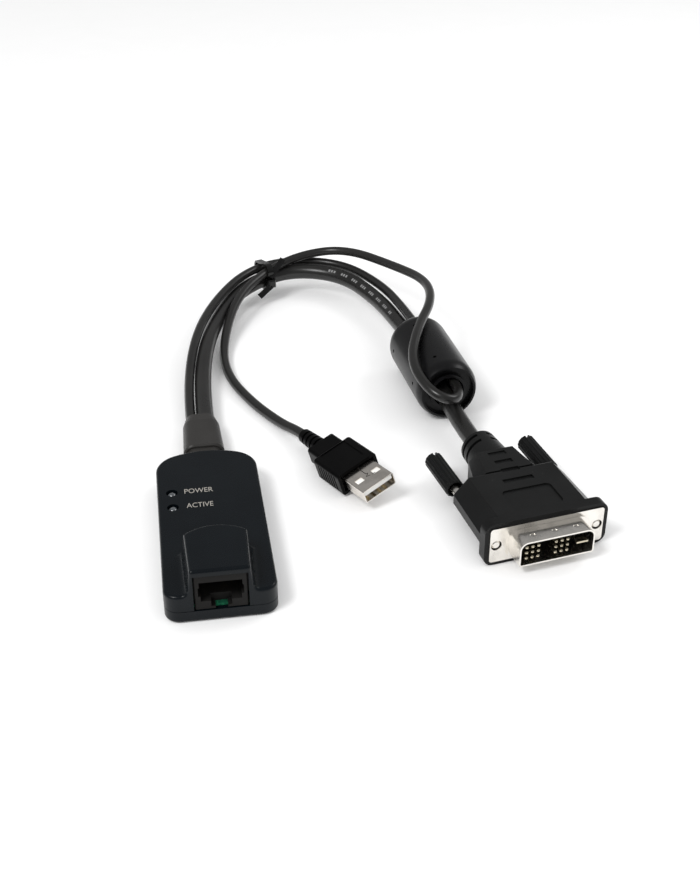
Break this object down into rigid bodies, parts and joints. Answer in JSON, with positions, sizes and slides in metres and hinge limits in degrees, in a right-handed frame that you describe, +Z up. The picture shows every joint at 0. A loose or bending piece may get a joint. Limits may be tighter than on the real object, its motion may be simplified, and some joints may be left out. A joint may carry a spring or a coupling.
{
  "type": "kvm dongle",
  "caption": "Network-port console dongle with status lamps, a boot, and two leads to a video plug and a USB plug, tied together, with a ferrite sleeve.",
  "frame": {"origin": "middle of the case's underside, on the surface it stands on", "axes": "+Y from the network port to the cable boot, along the case; +Z up; +X to the right of someone facing the port"},
  "size_m": [0.1348, 0.2191, 0.0267],
  "materials": {
    "case_plastic": "satin moulded plastic, blue-black",
    "jack_plastic": "dark grey moulded plastic",
    "gold_contact": "gold-plated spring metal",
    "board_green": "solder-masked circuit board",
    "chip_black": "moulded chip package",
    "crystal_can": "drawn metal can",
    "ceramic": "ceramic chip body",
    "header_white": "moulded connector housing",
    "screw_steel": "zinc-plated steel",
    "lamp_clear": "clear moulded lens",
    "boot_pvc": "soft moulded strain relief",
    "lead_pvc": "smooth cable jacket",
    "tie_nylon": "black nylon",
    "ferrite_plastic": "satin moulded cover",
    "ferrite_ceramic": "sintered ferrite",
    "plug_plastic": "matte moulded hood",
    "usb_plastic": "black moulded hood",
    "nickel": "nickel-plated steel",
    "insulator_white": "moulded insulator",
    "insulator_black": "moulded insulator"
  },
  "bodies": {
    "dongle": {"upper_case": "case_plastic", "lower_case": "case_plastic", "case_screws": "screw_steel", "rj45_jack": "jack_plastic", "rj45_contacts": "gold_contact", "circuit_board": "board_green", "processor_chip": "chip_black", "interface_chip": "chip_black", "crystal": "crystal_can", "chip_capacitors": "ceramic", "cable_header": "header_white", "power_led": "lamp_clear", "active_led": "lamp_clear", "cable_boot": "boot_pvc", "ferrite_cover": "ferrite_plastic", "ferrite_core": "ferrite_ceramic", "dvi_hood": "plug_plastic", "dvi_relief": "plug_plastic", "dvi_shell": "nickel", "dvi_insulator": "insulator_black", "dvi_pins": "gold_contact", "usb_shell": "nickel", "usb_insulator": "insulator_white", "usb_contacts": "gold_contact", "usb_hood": "usb_plastic", "usb_relief": "usb_plastic", "video_lead": "lead_pvc", "usb_lead": "lead_pvc", "cable_tie": "tie_nylon"},
    "screw_left": {"dvi_screw_left": "nickel"},
    "knob_left": {"dvi_knob_left": "plug_plastic"},
    "screw_right": {"dvi_screw_right": "nickel"},
    "knob_right": {"dvi_knob_right": "plug_plastic"}
  },
  "joints": [
    {"name": "screw_left_slide", "type": "slide", "parent": "dongle", "child": "screw_left", "axis": [0.1697, -0.9855, 0], "range_m": [0, 0.0034]},
    {"name": "knob_left_turn", "type": "hinge", "parent": "screw_left", "child": "knob_left", "pos_m": [0.07527, 0.01441, 0.0074], "axis": [0.1697, -0.9855, 0], "continuous": true},
    {"name": "screw_right_slide", "type": "slide", "parent": "dongle", "child": "screw_right", "axis": [0.1697, -0.9855, 0], "range_m": [0, 0.0034]},
    {"name": "knob_right_turn", "type": "hinge", "parent": "screw_right", "child": "knob_right", "pos_m": [0.10809, 0.02006, 0.0074], "axis": [0.1697, -0.9855, 0], "continuous": true}
  ]
}
